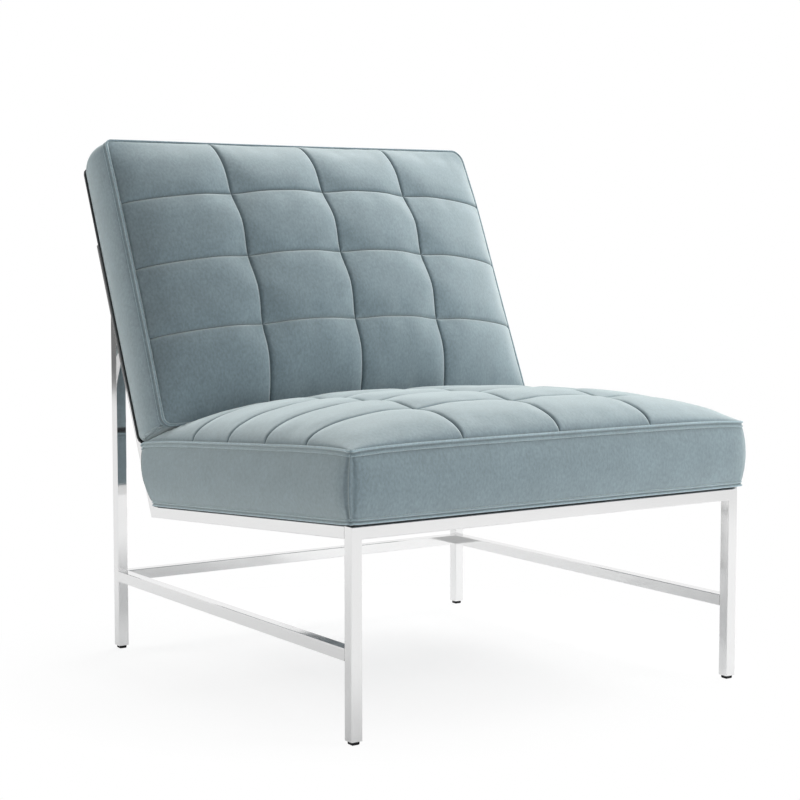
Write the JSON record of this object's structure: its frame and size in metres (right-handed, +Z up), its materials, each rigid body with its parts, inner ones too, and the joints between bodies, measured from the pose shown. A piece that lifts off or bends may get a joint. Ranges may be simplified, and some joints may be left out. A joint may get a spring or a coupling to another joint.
{
  "type": "upholstered lounge chair",
  "caption": "Armless lounge chair with a biscuit-tufted, crowned seat pad and leaning back pad on an open frame of polished square tube with low stretchers.",
  "frame": {"origin": "on the floor under the middle of the chair's box", "axes": "+Z up; the sitter faces -Y, so the back pad is towards +Y; +X to the right of a viewer who looks along +Y at the chair's front"},
  "size_m": [0.6844, 0.788, 0.7903],
  "materials": {
    "polished_steel": "mirror polished",
    "bolt_steel": "bright zinc",
    "glide_plastic": "fine satin",
    "black_board": "matt black",
    "hardwood": "sawn, unfinished",
    "webbing": "coarse weave",
    "foam": "open cells",
    "velvet": "short pile, pale blue grey"
  },
  "bodies": {
    "root": {"back_base_board": "black_board", "back_bolt_left_1": "bolt_steel", "back_bolt_left_2": "bolt_steel", "back_bolt_right_1": "bolt_steel", "back_bolt_right_2": "bolt_steel", "back_cover": "velvet", "back_foam": "foam", "back_outer_panel": "velvet", "back_rail_top": "polished_steel", "back_upright_left": "polished_steel", "back_upright_right": "polished_steel", "back_webbing_1": "webbing", "back_webbing_2": "webbing", "back_webbing_3": "webbing", "back_webbing_4": "webbing", "back_welt_front": "velvet", "back_wood_bottom": "hardwood", "back_wood_left": "hardwood", "back_wood_right": "hardwood", "back_wood_top": "hardwood", "front_leg_left": "polished_steel", "front_leg_right": "polished_steel", "glide_front_left": "glide_plastic", "glide_front_right": "glide_plastic", "glide_rear_left": "glide_plastic", "glide_rear_right": "glide_plastic", "rear_leg_left": "polished_steel", "rear_leg_right": "polished_steel", "rear_stretcher": "polished_steel", "seat_base_board": "black_board", "seat_bolt_left_1": "bolt_steel", "seat_bolt_left_2": "bolt_steel", "seat_bolt_right_1": "bolt_steel", "seat_bolt_right_2": "bolt_steel", "seat_cover": "velvet", "seat_foam": "foam", "seat_rail_front": "polished_steel", "seat_rail_left": "polished_steel", "seat_rail_rear": "polished_steel", "seat_rail_right": "polished_steel", "seat_webbing_1": "webbing", "seat_webbing_2": "webbing", "seat_webbing_3": "webbing", "seat_webbing_4": "webbing", "seat_webbing_5": "webbing", "seat_welt_bottom": "velvet", "seat_welt_top": "velvet", "seat_wood_front": "hardwood", "seat_wood_left": "hardwood", "seat_wood_rear": "hardwood", "seat_wood_right": "hardwood", "side_stretcher_left": "polished_steel", "side_stretcher_right": "polished_steel"}
  },
  "joints": []
}
